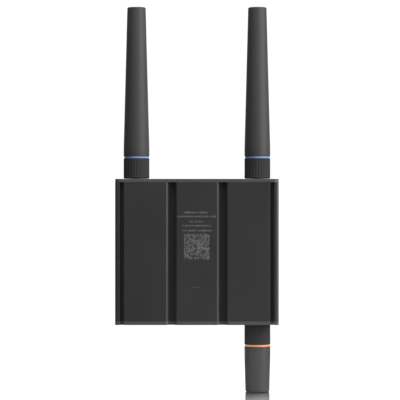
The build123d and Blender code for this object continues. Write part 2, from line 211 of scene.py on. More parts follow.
def box_outline(x, y, width, height, radius, steps=4):
    """A rounded rectangle about its middle."""
    w, h = width / 2, height / 2
    return rounded([(x + a * w, y + b * h, radius) for a, b in ((-1, -1), (1, -1), (1, 1), (-1, 1))], steps)


def circle_outline(x, y, radius, sides=32):
    """A circle about its middle."""
    return [
        (x + radius * math.cos(2 * math.pi * i / sides), y + radius * math.sin(2 * math.pi * i / sides))
        for i in range(sides)
    ]


def add_piece(name, mesh):
    """Puts a mesh in the scene as a piece of its own."""
    piece = bpy.data.objects.new(name, mesh)
    bpy.context.scene.collection.objects.link(piece)
    return piece


def drop(piece):
    """Takes a helper piece and its mesh out of the scene."""
    mesh = piece.data
    bpy.data.objects.remove(piece)
    if mesh.users == 0 and isinstance(mesh, bpy.types.Mesh):
        bpy.data.meshes.remove(mesh)


def settle(piece):
    """Turns what a piece shows, modifiers and all, into its plain mesh."""
    bpy.context.view_layer.update()
    graph = bpy.context.evaluated_depsgraph_get()
    mesh = bpy.data.meshes.new_from_object(piece.evaluated_get(graph))
    mesh.name = piece.name
    old = piece.data
    piece.modifiers.clear()
    piece.data = mesh
    if isinstance(old, bpy.types.Mesh) and old.users == 0:
        bpy.data.meshes.remove(old)
    return piece


def tidy_mesh(mesh):
    """Joins doubled points, turns the faces outwards and shades curved parts smooth."""
    work = bmesh.new()
    work.from_mesh(mesh)
    bmesh.ops.remove_doubles(work, verts=work.verts, dist=DOUBLED * MM)
    bmesh.ops.recalc_face_normals(work, faces=work.faces)
    work.to_mesh(mesh)
    work.free()
    mesh.shade_smooth()
    mesh.set_sharp_from_angle(angle=SHARP_ANGLE)


def soften(piece):
    """Keeps broad faces flat where they meet small rounded edges."""
    modifier = piece.modifiers.new("Even shading", "WEIGHTED_NORMAL")
    modifier.keep_sharp = True
    modifier.weight = 80


def extruded(name, loops, low, high, rim=0.0, upright=True):
    """A solid of an outline with holes, between two heights or, if not upright, two places along Y."""
    curve = bpy.data.curves.new(name, "CURVE")
    curve.dimensions = "2D"
    curve.fill_mode = "BOTH"
    curve.extrude = ((high - low) / 2 - rim) * MM
    curve.bevel_depth = rim * MM
    curve.bevel_resolution = 2
    curve.offset = -rim * MM
    for loop in loops:
        spline = curve.splines.new("POLY")
        spline.points.add(len(loop) - 1)
        for point, (x, y) in zip(spline.points, loop):
            point.co = (x * MM, y * MM, 0, 1)
        spline.use_cyclic_u = True
    drawn = bpy.data.objects.new(name + "_outline", curve)
    bpy.context.scene.collection.objects.link(drawn)
    bpy.context.view_layer.update()
    graph = bpy.context.evaluated_depsgraph_get()
    mesh = bpy.data.meshes.new_from_object(drawn.evaluated_get(graph))
    mesh.name = name
    bpy.data.objects.remove(drawn)
    mesh.transform(Matrix.Translation((0, 0, (low + high) / 2 * MM)))
    if not upright:
        mesh.transform(Matrix(((1, 0, 0, 0), (0, 0, 1, 0), (0, 1, 0, 0), (0, 0, 0, 1))))
    tidy_mesh(mesh)
    return add_piece(name, mesh)


def turned(name, corners, sides=96, ring=False, steps=4):
    """A piece turned about Z from a profile (radius, height, rounding). A ring's profile is closed."""
    profile = rounded(corners, steps, closed=ring)
    work = bmesh.new()
    rows = []
    for r, z in profile:
        if r < 1e-6:
            rows.append([work.verts.new((0, 0, z * MM))] * sides)
            continue
        angles = [2 * math.pi * i / sides for i in range(sides)]
        rows.append([work.verts.new((r * MM * math.cos(a), r * MM * math.sin(a), z * MM)) for a in angles])
    pairs = list(zip(rows, rows[1:])) + ([(rows[-1], rows[0])] if ring else [])
    for below, above in pairs:
        for i in range(sides):
            j = (i + 1) % sides
            corners_here = []
            for vert in (below[i], below[j], above[j], above[i]):
                if vert not in corners_here:
                    corners_here.append(vert)
            if len(corners_here) > 2:
                work.faces.new(corners_here)
    mesh = bpy.data.meshes.new(name)
    work.to_mesh(mesh)
    work.free()
    tidy_mesh(mesh)
    return add_piece(name, mesh)


def cut(piece, *cutters):
    """Takes each cutter's shape out of the piece."""
    for cutter in cutters:
        modifier = piece.modifiers.new("Cut", "BOOLEAN")
        modifier.operation = "DIFFERENCE"
        modifier.solver = "EXACT"
        modifier.object = cutter
        settle(piece)
        drop(cutter)
    tidy_mesh(piece.data)
    return piece


def together(name, pieces):
    """Joins several pieces into one mesh."""
    work = bmesh.new()
    for piece in pieces:
        work.from_mesh(piece.data)
        drop(piece)
    mesh = bpy.data.meshes.new(name)
    work.to_mesh(mesh)
    work.free()
    mesh.shade_smooth()
    mesh.set_sharp_from_angle(angle=SHARP_ANGLE)
    return add_piece(name, mesh)


def antenna_place(prefix):
    """Where an antenna stands: on the top plate, or turned over under the bottom plate."""
    if prefix == "short_antenna":
        below = Matrix.Translation((ANTENNA_X * MM, AXIS_Y * MM, -TOP * MM))
        return below @ Matrix.Rotation(math.pi, 4, "X")
    side = -1 if prefix == "left_antenna" else 1
    return Matrix.Translation((side * ANTENNA_X * MM, AXIS_Y * MM, TOP * MM))


# ---------------------------------------------------------------- Geometry Nodes
class Tree:
    """A Geometry Nodes tree being built: named inputs, nodes by kind, and an end that paints the mesh."""

    KINDS = {"number": "NodeSocketFloat", "count": "NodeSocketInt", "object": "NodeSocketObject",
             "material": "NodeSocketMaterial", "geometry": "NodeSocketGeometry"}

    def __init__(self, name, inputs):
        self.tree = bpy.data.node_groups.new(name, "GeometryNodeTree")
        self.tree.interface.new_socket(name="Geometry", in_out="OUTPUT", socket_type="NodeSocketGeometry")
        self.sockets = {
            label: self.tree.interface.new_socket(name=label, in_out="INPUT", socket_type=self.KINDS[kind])
            for label, kind in inputs.items()
        }
        self.given = self.tree.nodes.new("NodeGroupInput").outputs

    def add(self, kind, fed=None, **settings):
        """A new node of this kind, with its inputs fed by label."""
        made = self.tree.nodes.new(kind)
        for key, value in settings.items():
            setattr(made, key, value)
        for label, value in (fed or {}).items():
            self.feed(made.inputs[label], value)
        return made

    def feed(self, socket, value):
        """Links an output, or a node's first output, to a socket, or sets the socket to a plain value."""
        if isinstance(value, bpy.types.NodeSocket):
            self.tree.links.new(value, socket)
        elif isinstance(value, bpy.types.Node):
            self.tree.links.new(value.outputs[0], socket)
        else:
            socket.default_value = value

    def math(self, operation, *values):
        """The result of a math operation on sockets or plain values."""
        made = self.tree.nodes.new("ShaderNodeMath")
        made.operation = operation
        for socket, value in zip(made.inputs, values):
            self.feed(socket, value)
        return made.outputs[0]

    def vector(self, x=0.0, y=0.0, z=0.0):
        """A vector from sockets or plain values."""
        return self.add("ShaderNodeCombineXYZ", {"X": x, "Y": y, "Z": z}).outputs[0]

    def chance(self, low, high, seed):
        """A random number between two limits, one for each point."""
        made = self.add("FunctionNodeRandomValue", data_type="FLOAT")
        limits = {"Min": low, "Max": high, "Seed": seed}
        for socket in made.inputs:
            if socket.enabled and socket.name in limits:
                self.feed(socket, limits[socket.name])
        return next(s for s in made.outputs if s.enabled)

    def finish(self, geometry):
        """Ends the tree: instances are made real and get the given material."""
        real = self.add("GeometryNodeRealizeInstances", {"Geometry": geometry})
        painted = self.add("GeometryNodeSetMaterial", {"Geometry": real, "Material": self.given["Material"]})
        last = self.tree.nodes.new("NodeGroupOutput")
        self.tree.links.new(painted.outputs[0], last.inputs[0])
        return self

    def grow(self, piece, **values):
        """Runs the tree on a piece with these inputs and leaves a plain mesh."""
        modifier = piece.modifiers.new(self.tree.name, "NODES")
        modifier.node_group = self.tree
        for label, value in values.items():
            modifier[self.sockets[label.replace("_", " ")].identifier] = value
        return settle(piece)


def screws_tree():
    """Screws at the corners of a rectangle, each turned by chance about its own axis."""
    t = Tree("Corner screws", {
        "Screw": "object", "Across": "number", "Apart": "number", "Middle": "number",
        "Height": "number", "Turn over": "number", "Seed": "count", "Material": "material",
    })
    g = t.given
    corners = t.add("GeometryNodeMeshGrid", {
        "Size X": g["Across"], "Size Y": g["Apart"], "Vertices X": 2, "Vertices Y": 2})
    placed = t.add("GeometryNodeTransform", {
        "Geometry": corners, "Translation": t.vector(0.0, g["Middle"], g["Height"])})
    one = t.add("GeometryNodeObjectInfo", {"Object": g["Screw"]})
    spin = t.vector(g["Turn over"], 0.0, t.chance(0.0, 2 * math.pi, g["Seed"]))
    many = t.add("GeometryNodeInstanceOnPoints", {
        "Points": placed, "Instance": one.outputs["Geometry"], "Rotation": spin})
    return t.finish(many)


def flutes_tree():
    """Presses soft upright flutes into the outside of a turned piece, between two heights."""
    t = Tree("Finger flutes", {
        "Geometry": "geometry", "Flutes": "number", "Depth": "number", "Low": "number", "High": "number",
        "Run out": "number", "Outside": "number", "Material": "material",
    })
    g = t.given
    place = t.add("GeometryNodeInputPosition")
    split = t.add("ShaderNodeSeparateXYZ", {"Vector": place})
    x, y, z = split.outputs
    angle = t.math("ARCTAN2", y, x)
    radius = t.math("SQRT", t.math("ADD", t.math("MULTIPLY", x, x), t.math("MULTIPLY", y, y)))
    wave = t.math("COSINE", t.math("MULTIPLY", angle, g["Flutes"]))
    lift = t.math("POWER", t.math("MULTIPLY_ADD", wave, 0.5, 0.5), 1.3)
    up = t.add("ShaderNodeMapRange", {
        "Value": z, "From Min": g["Low"], "From Max": t.math("ADD", g["Low"], g["Run out"]),
    }, interpolation_type="SMOOTHSTEP")
    down = t.add("ShaderNodeMapRange", {
        "Value": z, "From Min": t.math("SUBTRACT", g["High"], g["Run out"]), "From Max": g["High"],
        "To Min": 1.0, "To Max": 0.0,
    }, interpolation_type="SMOOTHSTEP")
    outside = t.math("GREATER_THAN", radius, g["Outside"])
    ends = t.math("MULTIPLY", up.outputs[0], down.outputs[0])
    amount = t.math("MULTIPLY", ends, t.math("MULTIPLY", lift, outside))
    inwards = t.math("DIVIDE", t.math("MULTIPLY", amount, g["Depth"]), radius)
    pull_x = t.math("MULTIPLY", t.math("MULTIPLY", x, inwards), -1.0)
    pull_y = t.math("MULTIPLY", t.math("MULTIPLY", y, inwards), -1.0)
    pull = t.vector(pull_x, pull_y, 0.0)
    moved = t.add("GeometryNodeSetPosition", {"Geometry": g["Geometry"], "Offset": pull})
    return t.finish(moved)


def dashes_tree():
    """A row of small printed dashes of chance lengths, with gaps, along X."""
    t = Tree("Printed row", {
        "Left": "number", "Right": "number", "Height": "number", "Pitch": "number", "Tall": "number",
        "Thick": "number", "Back": "number", "Kept": "number", "Seed": "count", "Material": "material",
    })
    g = t.given
    count = t.math("FLOOR", t.math("DIVIDE", t.math("SUBTRACT", g["Right"], g["Left"]), g["Pitch"]))
    first = t.math("MULTIPLY_ADD", g["Pitch"], 0.5, g["Left"])
    line = t.add("GeometryNodeMeshLine", {
        "Count": count, "Start Location": t.vector(first, g["Back"], g["Height"]),
        "Offset": t.vector(g["Pitch"], 0.0, 0.0),
    })
    dash = t.add("GeometryNodeMeshCube", {"Size": t.vector(g["Pitch"], g["Thick"], g["Tall"])})
    keep = t.math("LESS_THAN", t.chance(0.0, 1.0, t.math("ADD", g["Seed"], 7.0)), g["Kept"])
    length = t.chance(0.35, 0.95, g["Seed"])
    tallness = t.chance(0.55, 1.0, t.math("ADD", g["Seed"], 3.0))
    many = t.add("GeometryNodeInstanceOnPoints", {
        "Points": line, "Instance": dash.outputs["Mesh"], "Selection": keep,
        "Scale": t.vector(length, 1.0, tallness),
    })
    return t.finish(many)


def cells_tree():
    """A square field of small printed cells, kept or left out by chance."""
    t = Tree("Printed cells", {
        "Side": "number", "Cells": "count", "Middle X": "number", "Middle Z": "number", "Thick": "number",
        "Back": "number", "Kept": "number", "Seed": "count", "Material": "material",
    })
    g = t.given
    cell = t.math("DIVIDE", g["Side"], g["Cells"])
    span = t.math("SUBTRACT", g["Side"], cell)
    field = t.add("GeometryNodeMeshGrid", {
        "Size X": span, "Size Y": span, "Vertices X": g["Cells"], "Vertices Y": g["Cells"]})
    upright = t.add("GeometryNodeTransform", {
        "Geometry": field, "Translation": t.vector(g["Middle X"], g["Back"], g["Middle Z"]),
        "Rotation": (math.pi / 2, 0.0, 0.0),
    })
    dot = t.add("GeometryNodeMeshCube", {"Size": t.vector(cell, g["Thick"], cell)})
    keep = t.math("LESS_THAN", t.chance(0.0, 1.0, g["Seed"]), g["Kept"])
    many = t.add("GeometryNodeInstanceOnPoints", {
        "Points": upright, "Instance": dot.outputs["Mesh"], "Selection": keep})
    return t.finish(many)


# ---------------------------------------------------------------- finishes
def effect_group(name, inputs, outputs):
    """An empty shader node group whose named inputs and outputs are plain values."""
    group = bpy.data.node_groups.new(name, "ShaderNodeTree")
    for label, value in inputs.items():
        socket = group.interface.new_socket(name=label, in_out="INPUT", socket_type="NodeSocketFloat")
        socket.default_value = value
    for label in outputs:
        group.interface.new_socket(name=label, in_out="OUTPUT", socket_type="NodeSocketFloat")
    return group, group.nodes.new("NodeGroupInput"), group.nodes.new("NodeGroupOutput")


def shader_node(tree, kind, fed=None, **settings):
    """A new node of this kind in a shader tree, each input linked to an output or set to a value."""
    made = tree.nodes.new(kind)
    for key, value in settings.items():
        setattr(made, key, value)
    for label, value in (fed or {}).items():
        socket = made.inputs[label]
        if isinstance(value, bpy.types.NodeSocket):
            tree.links.new(value, socket)
        else:
            socket.default_value = value
    return made


def worked(tree, operation, a, b, kind="ShaderNodeMath", **settings):
    """The first result of a math operation on two values or vectors in a shader tree."""
    return shader_node(tree, kind, {0: a, 1: b}, operation=operation, **settings).outputs[0]


def ramp(tree, value, start, end, low=0.0, high=1.0, **settings):
    """A value carried from one range to another."""
    limits = {"Value": value, "From Min": start, "From Max": end, "To Min": low, "To Max": high}
    return shader_node(tree, "ShaderNodeMapRange", limits, **settings).outputs[0]


def blend(tree, share, first, second):
    """Two shader nodes mixed by the second one's share."""
    parts = {0: share, 1: first.outputs[0], 2: second.outputs[0]}
    return shader_node(tree, "ShaderNodeMixShader", parts)


def grain_group():
    """Fine surface grain: a height for bump, and a value about one half for tone."""
    group, given, last = effect_group(
        "Surface grain", {"Size": 0.3, "Stretch": 1.0, "Coarse": 0.4}, ["Height", "Tone"])
    place = shader_node(group, "ShaderNodeTexCoord")
    stretch = shader_node(group, "ShaderNodeCombineXYZ", {"X": 1.0, "Y": 1.0, "Z": given.outputs["Stretch"]})
    pulled = worked(group, "MULTIPLY", place.outputs["Object"], stretch.outputs[0], "ShaderNodeVectorMath")
    scale = worked(group, "DIVIDE", 1000.0, given.outputs["Size"])
    fine = shader_node(group, "ShaderNodeTexNoise", {"Vector": pulled, "Scale": scale, "Detail": 2.0})
    wide = worked(group, "MULTIPLY", scale, 0.31)
    pebble = shader_node(
        group, "ShaderNodeTexVoronoi", {"Vector": pulled, "Scale": wide}, feature="SMOOTH_F1")
    mixed = shader_node(group, "ShaderNodeMix", {
        "Factor": given.outputs["Coarse"], "A": fine.outputs[0], "B": pebble.outputs["Distance"]})
    group.links.new(mixed.outputs[0], last.inputs["Height"])
    group.links.new(fine.outputs[0], last.inputs["Tone"])
    return group


def patches_group():
    """Broad, faint patches, as of handling and uneven finish."""
    group, given, last = effect_group("Broad patches", {"Size": 30.0}, ["Patch"])
    place = shader_node(group, "ShaderNodeTexCoord")
    scale = worked(group, "DIVIDE", 1000.0, given.outputs["Size"])
    broad = shader_node(group, "ShaderNodeTexNoise", {
        "Vector": place.outputs["Object"], "Scale": scale, "Detail": 4.0, "Roughness": 0.6, "Distortion": 0.4})
    group.links.new(broad.outputs[0], last.inputs["Patch"])
    return group


def wear_group():
    """A mask of worn edges: where a rounded normal leaves the true one, broken up by noise. Where its colour
    is light, as on the end plates, it also paints a highlight along the rim.
    """
    group, given, last = effect_group("Edge wear", {"Width": 0.25, "Amount": 1.0}, ["Mask"])
    width = worked(group, "MULTIPLY", given.outputs["Width"], MM)
    bevel = shader_node(group, "ShaderNodeBevel", {"Radius": width}, samples=4)
    true = shader_node(group, "ShaderNodeNewGeometry")
    dot = shader_node(group, "ShaderNodeVectorMath", {
        0: bevel.outputs[0], 1: true.outputs["Normal"]}, operation="DOT_PRODUCT")
    edge = ramp(group, dot.outputs["Value"], 0.995, 0.85)
    place = shader_node(group, "ShaderNodeTexCoord")
    noise = shader_node(group, "ShaderNodeTexNoise", {
        "Vector": place.outputs["Object"], "Scale": 420.0, "Detail": 5.0})
    both = worked(group, "MULTIPLY", edge, ramp(group, noise.outputs[0], 0.42, 0.75))
    sized = worked(group, "MULTIPLY", both, given.outputs["Amount"], use_clamp=True)
    group.links.new(sized, last.inputs["Mask"])
    return group


GRAIN = grain_group()
PATCHES = patches_group()
WEAR = wear_group()


def place_group(tree, group, **values):
    """An effect group placed in a material, with its own values."""
    made = tree.nodes.new("ShaderNodeGroup")
    made.node_tree = group
    for label, value in values.items():
        made.inputs[label].default_value = value
    return made


def shade(colour, factor):
    """A colour made this much lighter or darker."""
    return tuple(min(1.0, c * factor) for c in colour[:3]) + (1.0,)


def finish(name, colour, rough, metal=0.0, spread=0.12, grain=0.3, stretch=1.0, coarse=0.4, bump=0.0,
           depth=0.01, patch=30.0, patch_spread=0.1, rough_spread=0.1, wear=0.0,
           wear_colour=(0.25, 0.25, 0.26, 1.0), wear_rough=0.35, wear_width=0.25, specular=0.5, coat=0.0,
           coat_rough=0.1, transmission=0.0, ior=1.5):
    """A finish with its own tone spread, patches, grain and worn edges. Sizes are in millimetres."""
    material = bpy.data.materials.new(name)
    material.use_nodes = True
    tree = material.node_tree
    shader = tree.nodes["Principled BSDF"]
    grain_node = place_group(tree, GRAIN, Size=grain, Stretch=stretch, Coarse=coarse)
    patch_node = place_group(tree, PATCHES, Size=patch)
    fine = shader_node(tree, "ShaderNodeMix", {"Factor": grain_node.outputs["Tone"]}, data_type="RGBA")
    dark, light = [s for s in fine.inputs if s.type == "RGBA"]
    dark.default_value = shade(colour, 1 - spread)
    light.default_value = shade(colour, 1 + spread)
    fine_out = next(s for s in fine.outputs if s.type == "RGBA")
    patchy = patch_node.outputs["Patch"]
    broad = ramp(tree, patchy, 0.2, 0.8, 1 - patch_spread, 1 + patch_spread)
    final_colour = worked(tree, "MULTIPLY", fine_out, broad, "ShaderNodeVectorMath")
    final_rough = ramp(tree, patchy, 0.2, 0.8, max(0.02, rough - rough_spread), rough + rough_spread)
    if wear:
        mask = place_group(tree, WEAR, Width=wear_width, Amount=wear)
        bared = shader_node(tree, "ShaderNodeMix", {"Factor": mask.outputs[0]}, data_type="RGBA")
        painted, worn = [s for s in bared.inputs if s.type == "RGBA"]
        tree.links.new(final_colour, painted)
        worn.default_value = wear_colour
        final_colour = next(s for s in bared.outputs if s.type == "RGBA")
        polished = shader_node(tree, "ShaderNodeMix", {0: mask.outputs[0], 2: final_rough, 3: wear_rough})
        final_rough = polished.outputs[0]
    tree.links.new(final_colour, shader.inputs["Base Color"])
    tree.links.new(final_rough, shader.inputs["Roughness"])
    shader.inputs["Metallic"].default_value = metal
    shader.inputs["Specular IOR Level"].default_value = specular
    shader.inputs["IOR"].default_value = ior
    shader.inputs["Coat Weight"].default_value = coat
    shader.inputs["Coat Roughness"].default_value = coat_rough
    shader.inputs["Transmission Weight"].default_value = transmission
    if bump:
        lift = shader_node(tree, "ShaderNodeBump", {
            "Strength": bump, "Distance": depth * MM, "Height": grain_node.outputs["Height"]})
        tree.links.new(lift.outputs[0], shader.inputs["Normal"])
    return material


def rgb(r, g, b):
    """Shader colour of an ordinary 0-255 screen colour."""
    parts = [c / 255 / 12.92 if c < 10.3 else ((c / 255 + 0.055) / 1.055) ** 2.4 for c in (r, g, b)]
    return (*parts, 1.0)


FINISHES = {
    "case_paint": finish(
        "Charcoal case paint", (0.02, 0.0202, 0.0205), 0.44, grain=0.22, bump=0.35, depth=0.012, spread=0.18,
        wear=0.5, wear_colour=(0.07, 0.07, 0.072, 1), rough_spread=0.05, patch_spread=0.08),
    # The plates' light edge colour is partly real wear and partly a painted highlight along the rim, where the
    # top edge catches the light from above.
    "plate_paint": finish(
        "Grey plate paint", (0.056, 0.0565, 0.0572), 0.46, grain=0.2, bump=0.3, depth=0.01, spread=0.15,
        wear=0.9, wear_colour=(0.2, 0.2, 0.205, 1), wear_rough=0.3, rough_spread=0.05, patch_spread=0.07),
    "seal_rubber": finish("Seal rubber", (0.012, 0.012, 0.012), 0.75, grain=0.15, bump=0.3, spread=0.2),
    "screw_steel": finish(
        "Black oxide steel", (0.16, 0.16, 0.165), 0.34, metal=1.0, grain=0.12, bump=0.2, spread=0.2,
        wear=0.9, wear_colour=(0.45, 0.45, 0.46, 1), wear_width=0.15),
    "board_laminate": finish(
        "Board laminate", rgb(22, 74, 42), 0.4, grain=0.35, bump=0.3, spread=0.25, coarse=0.1, coat=0.4),
    "jack_brass": finish(
        "Gold plated brass", rgb(214, 172, 88), 0.22, metal=1.0, grain=0.25, stretch=0.2, bump=0.12,
        spread=0.08, wear=0.5, wear_colour=rgb(230, 196, 120), patch_spread=0.06),
    "jack_nickel": finish(
        "Dark nickel plate", rgb(112, 110, 107), 0.34, metal=1.0, grain=0.25, stretch=0.2, bump=0.12,
        spread=0.08, wear=0.4, wear_colour=rgb(150, 148, 144), patch_spread=0.06),
    "insulator": finish(
        "White insulator", rgb(226, 224, 214), 0.42, grain=0.3, bump=0.15, spread=0.03, patch_spread=0.03),
    "contact_gold": finish(
        "Contact gold", rgb(226, 184, 84), 0.16, metal=1.0, grain=0.2, stretch=0.3, bump=0.1, spread=0.05),
    "grip_plastic": finish(
        "Grip plastic", (0.031, 0.0312, 0.0318), 0.8, specular=0.16, grain=0.16, bump=0.35, depth=0.012,
        spread=0.15, wear=0.35, wear_colour=(0.06, 0.06, 0.062, 1), rough_spread=0.05),
    "antenna_plastic": finish(
        "Antenna plastic", (0.039, 0.0392, 0.0396), 0.6, specular=0.36, grain=0.18, bump=0.25, depth=0.01,
        spread=0.12, wear=0.25, wear_colour=(0.07, 0.07, 0.07, 1), rough_spread=0.04, patch=45.0,
        patch_spread=0.06),
    "blue_ring": finish(
        "Blue ring plastic", rgb(128, 154, 206), 0.5, grain=0.2, bump=0.12, spread=0.06, specular=0.3),
    "orange_ring": finish(
        "Orange ring plastic", rgb(248, 168, 110), 0.5, grain=0.2, bump=0.12, spread=0.06, specular=0.3),
    "element_copper": finish(
        "Element copper", rgb(196, 112, 72), 0.3, metal=1.0, grain=0.2, stretch=0.15, bump=0.1, spread=0.1),
    "former_plastic": finish("Former plastic", rgb(206, 204, 196), 0.5, grain=0.3, bump=0.2, spread=0.04),
    "shield_tin": finish(
        "Tinned shield", rgb(186, 188, 190), 0.26, metal=1.0, grain=0.3, stretch=0.15, bump=0.15, spread=0.08,
        wear=0.5, wear_colour=rgb(214, 214, 214)),
    "chip_plastic": finish("Chip plastic", (0.02, 0.02, 0.021), 0.55, grain=0.12, bump=0.35, spread=0.2),
    "sink_aluminium": finish(
        "Heat sink aluminium", rgb(176, 178, 182), 0.36, metal=1.0, grain=0.25, stretch=0.1, bump=0.2,
        spread=0.1),
    "can_aluminium": finish(
        "Can aluminium", rgb(196, 198, 200), 0.24, metal=1.0, grain=0.3, bump=0.1, spread=0.06),
    "jack_plastic": finish("Jack plastic", (0.016, 0.016, 0.017), 0.42, grain=0.2, bump=0.2, spread=0.15),
    "header_plastic": finish(
        "Header plastic", rgb(34, 96, 58), 0.44, grain=0.2, bump=0.2, spread=0.1,
        wear=0.3, wear_colour=rgb(84, 140, 100)),
    "overlay_film": finish(
        "Overlay film", (0.012, 0.0122, 0.0128), 0.34, grain=0.14, bump=0.3, spread=0.15, coat=0.25,
        coat_rough=0.3, rough_spread=0.02, patch_spread=0.04),
    "guide_clear": finish(
        "Light guide", rgb(214, 222, 224), 0.24, grain=0.2, bump=0.05, spread=0.02, transmission=0.5,
        ior=1.49),
    "tray_plastic": finish(
        "Tray plastic", (0.03, 0.03, 0.031), 0.46, grain=0.18, bump=0.3, spread=0.15,
        wear=0.3, wear_colour=(0.09, 0.09, 0.09, 1)),
    "card_plastic": finish("Card plastic", rgb(232, 232, 228), 0.36, grain=0.3, bump=0.1, spread=0.02),
}
INK = finish(
    "Faded print", rgb(92, 92, 94), 0.6, grain=0.3, spread=0.18, coarse=0.0, patch=4.0, patch_spread=0.2)
FRONT_INK = finish(
    "Pale print", rgb(176, 178, 180), 0.5, grain=0.3, spread=0.1, coarse=0.0, patch=8.0, patch_spread=0.08)


def paint(piece, material):
    """Gives a piece this finish in place of what it had."""
    piece.data.materials.clear()
    piece.data.materials.append(material)


def place_piece(piece, body, slot, *nodes, material=None):
    """Gives a ready piece its finish, picked by slot unless one is given, puts it under its body, and hides
    the CAD nodes it stands for.
    """
    paint(piece, material or FINISHES[slot])
    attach(piece, body)
    if nodes:
        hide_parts(*nodes)


# ---------------------------------------------------------------- case
FRONT_CORNERS = [(HALF_WIDTH, DEPTH, CORNER), (-HALF_WIDTH, DEPTH, CORNER)]


def slot_edge(x, depth):
    """A side slot across the back, with a rounder edge at the pad than at the rail."""
    left, right = (SHARP, PAD_EDGE) if x < 0 else (PAD_EDGE, SHARP)
    return [
        (x - SLOT_HALF, BACK, left), (x - SLOT_HALF, depth, SHARP),
        (x + SLOT_HALF, depth, SHARP), (x + SLOT_HALF, BACK, right),
    ]


def groove_edge(x, depth):
    """A bracket groove across the back, with a bevelled mouth."""
    return [
        (x - GROOVE_MOUTH, BACK, EASED), (x - GROOVE_FLOOR, GROOVE_BEVEL, BEVEL_EDGE),
        (x - GROOVE_FLOOR, depth, SHARP), (x + GROOVE_FLOOR, depth, SHARP),
        (x + GROOVE_FLOOR, GROOVE_BEVEL, BEVEL_EDGE), (x + GROOVE_MOUTH, BACK, EASED),
    ]


def back_edge(groove, slot):
    """The back from left to right, its grooves and slots this deep."""
    return [
        (-HALF_WIDTH, BACK, CORNER), *slot_edge(-SLOT_X, slot), *groove_edge(-GROOVE_X, groove),
        *groove_edge(GROOVE_X, groove), *slot_edge(SLOT_X, slot), (HALF_WIDTH, BACK, CORNER),
    ]


def cooling_line(middle, way, face, inwards):
    """A cooling line in a wall, in the order in which the outline runs: (along, across, rounding)."""
    start, end = middle - way * LINE_HALF, middle + way * LINE_HALF
    floor = face + inwards * LINE_DEPTH
    return [(start, face, EASED), (start, floor, SHARP), (end, floor, SHARP), (end, face, EASED)]


def case_outline():
    """The extrusion's outline seen from above, with cooling lines at the sides and the front."""
    points = back_edge(GROOVE_DEPTH, SLOT_DEPTH)
    for y in SIDE_LINES:
        points += [(x, along, r) for along, x, r in cooling_line(y, 1, HALF_WIDTH, -1)]
    points.append((HALF_WIDTH, DEPTH, CORNER))
    for x in [*reversed(FRONT_LINES), *[-x for x in FRONT_LINES]]:
        points += cooling_line(x, -1, DEPTH, -1)
    points.append((-HALF_WIDTH, DEPTH, CORNER))
    for y in reversed(SIDE_LINES):
        points += [(x, along, r) for along, x, r in cooling_line(y, -1, -HALF_WIDTH, 1)]
    return rounded(points)


def top_outline():
    """The top plate's outline, which closes the grooves' upper ends."""
    return rounded([(-HALF_WIDTH, BACK, CORNER), (HALF_WIDTH, BACK, CORNER), *FRONT_CORNERS], 6)


def bottom_outline():
    """The bottom plate's outline: the case's, with shallower grooves and no cooling lines."""
    return rounded([*back_edge(LIP_GROOVE, LIP_SLOT), *FRONT_CORNERS])


def cavity_outline():
    """The hollow inside: bays behind the pads, and corner bosses for the screws."""
    side, wall, front, behind_groove = 51.65, 2.1, 31.9, 6.4
    web_outer, web_inner = 22.8, 10.5
    boss_x, boss_low, boss_high = 45.4, 12.7, 25.6
    soft, wide = 0.8, 2.0
    left = [
        (-side, boss_low, soft), (-boss_x, boss_low, wide), (-boss_x, wall, soft), (-web_outer, wall, soft),
        (-web_outer, behind_groove, soft), (-web_inner, behind_groove, soft), (-web_inner, wall, soft),
    ]
    right = [(-x, y, r) for x, y, r in reversed(left)]
    ahead = [
        (side, boss_high, soft), (boss_x, boss_high, wide), (boss_x, front, soft),
        (-boss_x, front, soft), (-boss_x, boss_high, wide), (-side, boss_high, soft),
    ]
    return rounded(left + right + ahead, 2)


def screw_places():
    """The middles of the four screws in an end plate."""
    return [(x, y) for x in (-SCREW_X, SCREW_X) for y in SCREW_Y]


def light_openings(name, low):
    """Cutters for the five lights, from this depth out through the front."""
    circles = [circle_outline(x, LIGHT_Z, LIGHT_HOLE_R) for x in LIGHT_X]
    return extruded(name, circles, low, DEPTH + 2, upright=False)


def make_case():
    """The extruded case, with its screw holes, light openings and the film's shallow bed."""
    screw_holes = [circle_outline(x, y, SCREW_HOLE_R, 24) for x, y in screw_places()]
    case = extruded("case_shell", [case_outline(), cavity_outline(), *screw_holes], -BODY_TOP, BODY_TOP)
    width, height = FILM_WIDTH + 2 * FILM_PLAY, FILM_HEIGHT + 2 * FILM_PLAY
    bed = box_outline(0, 0, width, height, FILM_CORNER + FILM_PLAY, 6)
    recess = extruded("recess", [bed], DEPTH - FILM_ROOM, DEPTH + 2, upright=False)
    cut(case, recess, light_openings("holes", DEPTH - 4))
    soften(case)
    place_piece(case, "chassis", "case_paint", "case_body")


def countersinks():
    """Cutters for a top plate's four countersunk screw holes."""
    sinks = []
    for x, y in screw_places():
        sink = turned("sink", [
            (0, -6, 0), (SINK_HOLE_R, -6, 0), (SINK_HOLE_R, -HEAD_DEPTH, 0),
            (SINK_R, 0, 0), (SINK_R, 1, 0), (0, 1, 0),
        ], sides=40)
        sink.data.transform(Matrix.Translation((x * MM, y * MM, TOP * MM)))
        sinks.append(sink)
    return together("sinks", sinks)


